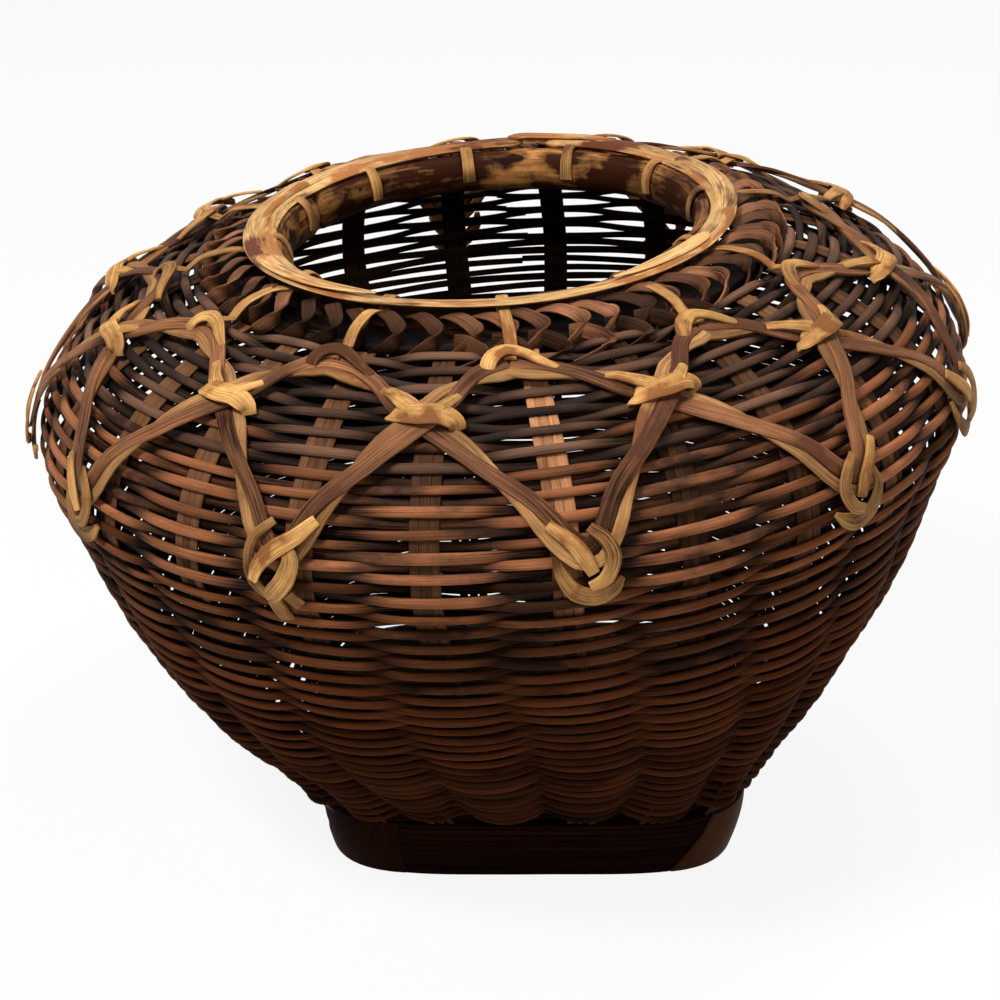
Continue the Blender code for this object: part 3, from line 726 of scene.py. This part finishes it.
def plait():
    """Plaited border: each flat fold bows out from under the cap, turns over at a tip and runs back below."""
    b = Bundle(FLAT)
    a = np.linspace(-math.pi, math.pi, 181)
    p = ring_point(a, CORE_RADIUS, CORE_Z)
    # painted shade: the core under the folds gets the darkest tone and the shade colour, so the holes between
    # the folds are dark
    b.add(p, ring_point(a, CORE_RADIUS, CORE_Z + 2) - p, 7.4, 1.7, tone=0.0, wear=0.0)
    for i in range(PLAIT_FOLDS):
        a0 = FOLD_TURN * (i + CHANCE.uniform(-0.14, 0.14))
        high = CHANCE.uniform(-0.5, 0.5)
        over = CHANCE.uniform(-0.2, 0.2)
        points = [(x, r, z + high * uneven) for x, r, z, uneven in UPPER_FOLD]
        fold_strip(b, a0, points, CHANCE.random(), (0.5, 0.25, 1.1 + over, 2.5, 2.75))
    for i in LOWER_TIER:
        a0 = FOLD_TURN * (i + 0.45 + CHANCE.uniform(-0.1, 0.1))
        fold_strip(b, a0, LOWER_FOLD, CHANCE.random(), (0.5, 0.3, 1.2, 2.5, 2.75))
    b.make("plait_border", PLAIT_BROWN, "braid_brown", ("braid_border",))


# lattice

PERIODS = 12
UPPER_Z, LOWER_Z, MIDDLE_SHARE = 185.0, 148.5, 0.31
LATTICE_LIFT, LATTICE_CROSS = 4.3, 1.05
# degrees by which the ties near the front are out of even spacing
TIE_SHIFT = {"upper": {-2: -1.5, -1: -2.5, 0: -4.0, 1: -2.0, 2: -5.0, 3: 1.0},
             "middle": {-2: -4.0, -1: -1.0, 0: -1.0, 1: 1.5, 2: 0.0, 3: -2.5},
             "lower": {-2: -3.0, -1: -1.5, 0: 2.5, 1: 6.0, 2: 3.5}}
# shares of the way down a leg, from its top tie to its bottom one
LEG_STEPS = (0.0, 0.2, 0.37, 0.5, 0.66, 0.83, 1.0)
# the two strips of a leg: name, material, half width, sideways, lift, slot
LEG_STRIPS = (("dark", LATTICE_BROWN, 2.5, 1.7, 0.35, "lattice_brown"),
              ("straw", LATTICE_STRAW, 1.75, -2.5, -0.35, "straw"))


def knot_angle(level, k):
    wrapped = (k + PERIODS // 2) % PERIODS - PERIODS // 2
    half = 0.0 if level == "middle" else 180 / PERIODS
    return STAKE_ZERO + math.radians(k * 360 / PERIODS + half + TIE_SHIFT[level].get(wrapped, 0.0))


def leg(k_upper, direction):
    """Way of a leg from a top tie through a crossing to the bottom tie at its left or right."""
    k_mid = k_upper + (1 if direction > 0 else 0)
    top, middle = knot_angle("upper", k_upper), knot_angle("middle", k_mid)
    bottom = knot_angle("lower", k_upper + direction)
    s0, s2 = run_at(UPPER_Z), run_at(LOWER_Z)
    power = math.log(MIDDLE_SHARE) / math.log(0.5)
    out = []
    for x in LEG_STEPS:
        a = top + (middle - top) * x * 2 if x <= 0.5 else middle + (bottom - middle) * (x - 0.5) * 2
        out.append((a, s0 + (s2 - s0) * x ** power, x, k_mid))
    return out


def lattice():
    """Two zigzags, each of a brown and a pale strip that change sides halfway down a leg."""
    for label, first, sign in (("a", 0, 1), ("b", 1, -1)):
        path = []
        for k in range(first, first + PERIODS, 2):
            down = leg(k, 1)
            back_up = leg(k + 2, -1)[::-1]
            for a, s, x, mid in down[:-1] + back_up[:-1]:
                over = sign * (1 if mid % 2 == 0 else -1) * math.sin(math.pi * x)
                path.append((a, s, LATTICE_LIFT + LATTICE_CROSS * over, math.cos(2 * math.pi * x)))
        path.append((path[0][0] + 2 * math.pi, *path[0][1:]))
        fine = flow(path, 6)
        n = len(fine)
        swap = fine[:, 3]
        for kind, material, half_width, sway, lift, slot in LEG_STRIPS:
            b = Bundle(FLAT)
            across = sway * np.clip(swap * 1.4, -1, 1)
            hidden = lift * (1 - np.clip(swap, -1, 1) ** 2)
            p, u = on_body(fine[:, 0], fine[:, 1], fine[:, 2] + hidden + wander(n, 0.15, 8))
            b.add(p, u, half_width * (1 + wander(n, 0.1, 9)), 0.5, tone=0.5 + wander(n, 0.3, 12),
                  wear=0.5 + wander(n, 0.35, 8), side=across + wander(n, 0.35, 7), twist=wander(n, 0.2, 7))
            piece = "lattice_%s_%s" % (kind, label)
            b.make(piece, material, slot, (piece,))


# ties

def on_spot(a, s, radius, points):
    """Path on the body from millimetres right of, and up from, a knot, with the lift off the wall."""
    return [(a + x / radius, s + y, lift) for x, y, lift in points]


def band(bundle, path, half_widths, tone, wear=0.7):
    """Flat strip along a path on the body, its half widths given at even steps."""
    fine = flow(path, 4)
    n = len(fine)
    half_width = np.interp(np.linspace(0, 1, n), np.linspace(0, 1, len(half_widths)), half_widths)
    p, u = on_body(fine[:, 0], fine[:, 1], fine[:, 2])
    bundle.add(p, u, half_width * (1 + wander(n, 0.07, 6)), 0.45, tone=tone, wear=wear + wander(n, 0.25, 6))


def middle_knots():
    """Pale strip wound once across each crossing, its ends tucked under the legs."""
    s_mid = run_at(UPPER_Z) + (run_at(LOWER_Z) - run_at(UPPER_Z)) * MIDDLE_SHARE
    radius = float(profile(s_mid)[0])
    for k in range(PERIODS):
        a = knot_angle("middle", k)
        tip = CHANCE.uniform(-1.2, 1.2)
        b = Bundle(FLAT)
        tone = CHANCE.uniform(0.45, 1)
        across = ((-9.6, tip + 1.6, 2.6), (-8.6, tip + 0.8, 5.2), (-5.0, tip * 0.5, 7.0), (0, -0.4, 7.6),
                  (5.0, -tip * 0.5, 7.0), (8.6, -tip - 0.8, 5.2), (9.4, -tip - 2.0, 2.6))
        left_end = ((-3.5, 1.6, 7.0), (-7.0, 4.6, 6.6), (-11.0, 8.2, 5.2), (-14, 10.0, 4.2))
        right_end = ((3.6, 1.0, 7.0), (6.4, 3.8, 6.6), (9.5, 7.0, 5.4))
        band(b, on_spot(a, s_mid, radius, across), (2.2, 3.0, 3.3, 3.1, 2.4), tone)
        band(b, on_spot(a, s_mid, radius, left_end), (2.6, 2.1, 1.6, 1.2), tone * 0.8)
        band(b, on_spot(a, s_mid, radius, right_end), (2.2, 1.7, 1.2), tone * 0.8)
        b.make("middle_knot_%02d" % (k + 1), STRAW, "straw", ("knot_middle_%02d" % (k + 1),))


# each lower tie: bands as points right, up, lift; then half widths, tone
TAIL_TIE = (
    (((-1.5, 9.5, 5.0), (-6.6, 5.5, 6.0), (-8.4, -0.5, 5.8), (-6.8, -6.6, 5.0), (-2.4, -11.0, 4.0)),
     (1.2, 1.5, 1.7, 1.7, 1.2), 0.25),
    (((1.5, 5.0, 6.2), (4.8, 0.6, 6.4), (3.4, -4.4, 6.4), (-1.0, -8.6, 5.4), (-3.6, -10.4, 4.4)),
     (1.8, 2.5, 2.9, 2.8, 2.0), 0.55),
    (((10.5, 10.5, 5.2), (6.0, 6.6, 6.6), (0.6, 3.0, 7.4), (-4.4, -1.6, 7.2), (-6.6, -6.0, 5.8)),
     (1.6, 2.2, 2.4, 2.2, 1.5), 0.85),
    (((-1.4, -10.6, 4.6), (-0.6, -13.4, 4.2), (0.4, -17.4, 3.4)), (2.2, 2.5, 2.6), 0.45),
    (((2.6, -9.0, 4.4), (5.6, -12.0, 3.6)), (1.8, 2.1), 0.3))
CURL_TIE = (
    (((-9.0, 1.0, 3.6), (-8.4, -3.8, 4.4), (-4.6, -8.4, 4.8), (1.2, -10.2, 4.6), (5.8, -8.8, 4.2),
      (8.4, -6.6, 3.4)),
     (0.9, 1.8, 2.6, 2.7, 2.2, 0.8), 0.35),
    (((0.5, 7.6, 6.2), (4.6, 4.2, 6.8), (6.2, -0.6, 6.6), (4.0, -5.4, 6.2), (-0.6, -7.2, 5.6)),
     (1.4, 1.9, 2.1, 2.0, 1.4), 0.5),
    (((-10.0, 9.0, 5.2), (-5.4, 5.0, 6.4), (-1.6, 0.4, 6.8), (0.6, -4.0, 6.0)), (1.5, 2.1, 2.4, 1.8), 0.75))
TAIL_TIED, MIRRORED = (3, 5, 8, 11), (1, 4, 7)


def lower_loops():
    """Legs tied off at the bottom, either with cut ends hanging or with a curl under the tie."""
    base = run_at(LOWER_Z)
    radius = float(profile(base)[0])
    for k in range(PERIODS):
        a = knot_angle("lower", k)
        flip = -1 if k in MIRRORED else 1
        b = Bundle(FLAT)
        for points, widths, tone in (TAIL_TIE if k in TAIL_TIED else CURL_TIE):
            moved = [(flip * x * CHANCE.uniform(0.92, 1.08), y, lift) for x, y, lift in points]
            path = on_spot(a, base, radius, moved)
            band(b, path, widths, tone + CHANCE.uniform(-0.1, 0.1), 0.25 + 0.6 * tone)
        b.make("lower_loop_%02d" % (k + 1), STRAW, "straw", ("loop_lower_%02d" % (k + 1),))


# tone of the arches that differ from their strap
ARCH_TONES = {11: 0.1, 9: 0.4, 2: 0.5}
# the strap goes round the hoop from its inside to its top, in degrees of the hoop's section
STRAP_FROM, STRAP_TURN, STRAP_POINTS, STRAP_CLEAR = 195, 165, 8, 0.8
# then over the cap and the plait: radius, height, sideways
STRAP_OVER = ((80.5, 196.3, 0.2), (89.5, 195.0, 0.6), (94.4, 192.0, 0.8))
# and down to the arch: up from it, lift off the wall, sideways
STRAP_DOWN = ((8.0, 4.4, 0.8), (5.0, 5.8, 0.4), (1.5, 5.8, 0))


def strap_path(base, low):
    """Radius, height and sideways of a strap; low is how far the mouth sags there."""
    line = []
    for i in range(STRAP_POINTS):
        t = math.radians(STRAP_FROM - i * STRAP_TURN / (STRAP_POINTS - 1))
        line.append((HOOP_RADIUS + (HOOP_A + STRAP_CLEAR) * math.cos(t),
                     HOOP_Z - 1.4 * low + (HOOP_B + STRAP_CLEAR) * math.sin(t), 0))
    line.append((74.2, 195.4 - 0.4 * low, 0))
    line += STRAP_OVER
    for y, lift, x in STRAP_DOWN:
        r, z, nr, nz = (float(v) for v in profile(base + y))
        line.append((r + lift * nr, z + lift * nz, x))
    return flow(line, 4)


def rim_ties():
    """Straps from the mouth hoop over the plait, each ending in an arch round the lattice's top."""
    base = run_at(UPPER_Z)
    radius = float(profile(base)[0])
    for k in range(PERIODS):
        a = knot_angle("upper", k)
        fine = strap_path(base, float(by_degrees(MOUTH_SAG, math.degrees(a))))
        n = len(fine)
        slant = CHANCE.uniform(-1.5, 1.5)
        at = a + (fine[:, 2] + slant * np.linspace(0, 1, n)) / fine[:, 0]
        p = ring_point(at, fine[:, 0], fine[:, 1])
        side = ring_point(at + 0.01, fine[:, 0], fine[:, 1]) - p
        outward = np.cross(np.gradient(p, axis=0), side) * 1e3
        b = Bundle(FLAT)
        tone = CHANCE.uniform(0.4, 0.9)
        b.add(p, outward, 1.9 * (1 + wander(n, 0.1, 6)), 0.38, tone=tone, wear=0.55 + wander(n, 0.3, 6))
        arch_tone = ARCH_TONES.get(k, tone)
        droop = CHANCE.uniform(-1.6, 1.2)
        arch = ((-5.4, -3.4 + droop, 3.8), (-6.0, -0.6, 5.6), (-4.2, 2.4, 6.8), (-0.4, 4.0, 7.0),
                (4.2, 3.0, 6.4), (8.4, 0.4, 5.4), (12.6 - droop, -2.2, 4.0))
        band(b, on_spot(a, base, radius, arch), (1.5, 2.3, 2.5, 2.3, 1.9, 1.6, 1.0), arch_tone,
             0.2 + 0.7 * arch_tone)
        b.make("upper_tie_%02d" % (k + 1), STRAW, "straw", ("tie_upper_%02d" % (k + 1),))


wefts()
stakes()
foot()
corner_splints()
base_weave()
mouth()
plait()
lattice()
middle_knots()
lower_loops()
rim_ties()


# camera, light and floor

# the photograph's frame is 1000 pixels wide; the lens and the aim are in its pixels
FRAME_PIXELS, LENS_PIXELS, AIM_X, AIM_Y = 1000, 2769.0, 31.46, -3.56
SENSOR_WIDTH = 36.0
CAMERA_DISTANCE, CAMERA_RAISE = 900.0, math.radians(24.80)
FLOOR_HALF, FLOOR_GLOW = 4, 0.90
# name, place, aimed height, disk size, power
LAMPS = (("key", (-0.55, -0.62, 1.35), 0.14, 0.4, 22),
         ("top", (0.35, 0.25, 1.45), 0.15, 0.5, 10),
         ("front", (0.60, -1.3, 0.95), 0.14, 0.4, 4.5))


def camera():
    target = Vector((-ORIGIN_X, -ORIGIN_Y, 100)) * MM
    back = Vector((0, -math.cos(CAMERA_RAISE), math.sin(CAMERA_RAISE)))
    data = bpy.data.cameras.new("camera")
    data.sensor_width = SENSOR_WIDTH
    data.lens = LENS_PIXELS / FRAME_PIXELS * SENSOR_WIDTH
    data.clip_start, data.clip_end = 0.05, 20
    cam = bpy.data.objects.new("camera", data)
    cam.rotation_mode = "QUATERNION"
    cam.location = target + back * CAMERA_DISTANCE * MM
    sideways = Quaternion((0, 1, 0), math.atan(AIM_X / LENS_PIXELS))
    upward = Quaternion((1, 0, 0), math.atan(-AIM_Y / LENS_PIXELS))
    cam.rotation_quaternion = (-back).to_track_quat("-Z", "Y") @ sideways @ upward
    bpy.context.scene.collection.objects.link(cam)
    bpy.context.scene.camera = cam


def lamp(name, place, aimed_height, size, power):
    data = bpy.data.lights.new(name, "AREA")
    data.shape = "DISK"
    data.size, data.energy = size, power
    ob = bpy.data.objects.new(name, data)
    ob.location = place
    ob.rotation_mode = "QUATERNION"
    ob.rotation_quaternion = (Vector((0, 0, aimed_height)) - Vector(place)).to_track_quat("-Z", "Y")
    bpy.context.scene.collection.objects.link(ob)


def background_rays(tree):
    """1 for the rays that show the background: those of the camera, of a gloss and through glass."""
    rays = node(tree, "ShaderNodeLightPath").outputs
    share = maths(tree, "MAXIMUM", rays["Is Camera Ray"], rays["Is Glossy Ray"])
    return maths(tree, "MAXIMUM", share, rays["Is Transmission Ray"])


def studio():
    """Three soft lamps in a pale room that shows white."""
    world = bpy.data.worlds.new("studio")
    bpy.context.scene.world = world
    world.use_nodes = True
    t = world.node_tree
    room = t.nodes["Background"]
    room.inputs["Color"].default_value = (1.0, 0.98, 0.96, 1)
    room.inputs["Strength"].default_value = 0.08
    white = node(t, "ShaderNodeBackground", (("Color", (1, 1, 1, 1)), ("Strength", 1.0)))
    share = background_rays(t)
    pick = node(t, "ShaderNodeMixShader", ((0, share), (1, room.outputs[0]), (2, white.outputs[0])))
    t.links.new(pick.outputs[0], t.nodes["World Output"].inputs["Surface"])
    for values in LAMPS:
        lamp(*values)


def floor():
    """Pale floor that keeps the vase's shadow and shows nearly white."""
    me = bpy.data.meshes.new("floor")
    corners = [(FLOOR_HALF * x, FLOOR_HALF * y, 0) for x, y in ((-1, -1), (1, -1), (1, 1), (-1, 1))]
    me.from_pydata(corners, [], [(0, 1, 2, 3)])
    mat = bpy.data.materials.new("floor")
    mat.use_nodes = True
    t = mat.node_tree
    bsdf = t.nodes["Principled BSDF"]
    bsdf.inputs["Roughness"].default_value = 0.9
    bsdf.inputs["Base Color"].default_value = (0.82, 0.82, 0.82, 1)
    bsdf.inputs["Specular IOR Level"].default_value = 0.0
    glow = node(t, "ShaderNodeEmission", (("Color", (1, 1, 1, 1)), ("Strength", 1.0)))
    share = maths(t, "MULTIPLY", background_rays(t), FLOOR_GLOW)
    pick = node(t, "ShaderNodeMixShader", ((0, share), (1, bsdf.outputs[0]), (2, glow.outputs[0])))
    t.links.new(pick.outputs[0], t.nodes["Material Output"].inputs["Surface"])
    me.materials.append(mat)
    ob = bpy.data.objects.new("floor", me)
    # just under the foot, so the two faces don't meet
    ob.location.z = -0.0002
    bpy.context.scene.collection.objects.link(ob)


camera()
studio()
floor()
bpy.context.scene.view_settings.view_transform = "Standard"
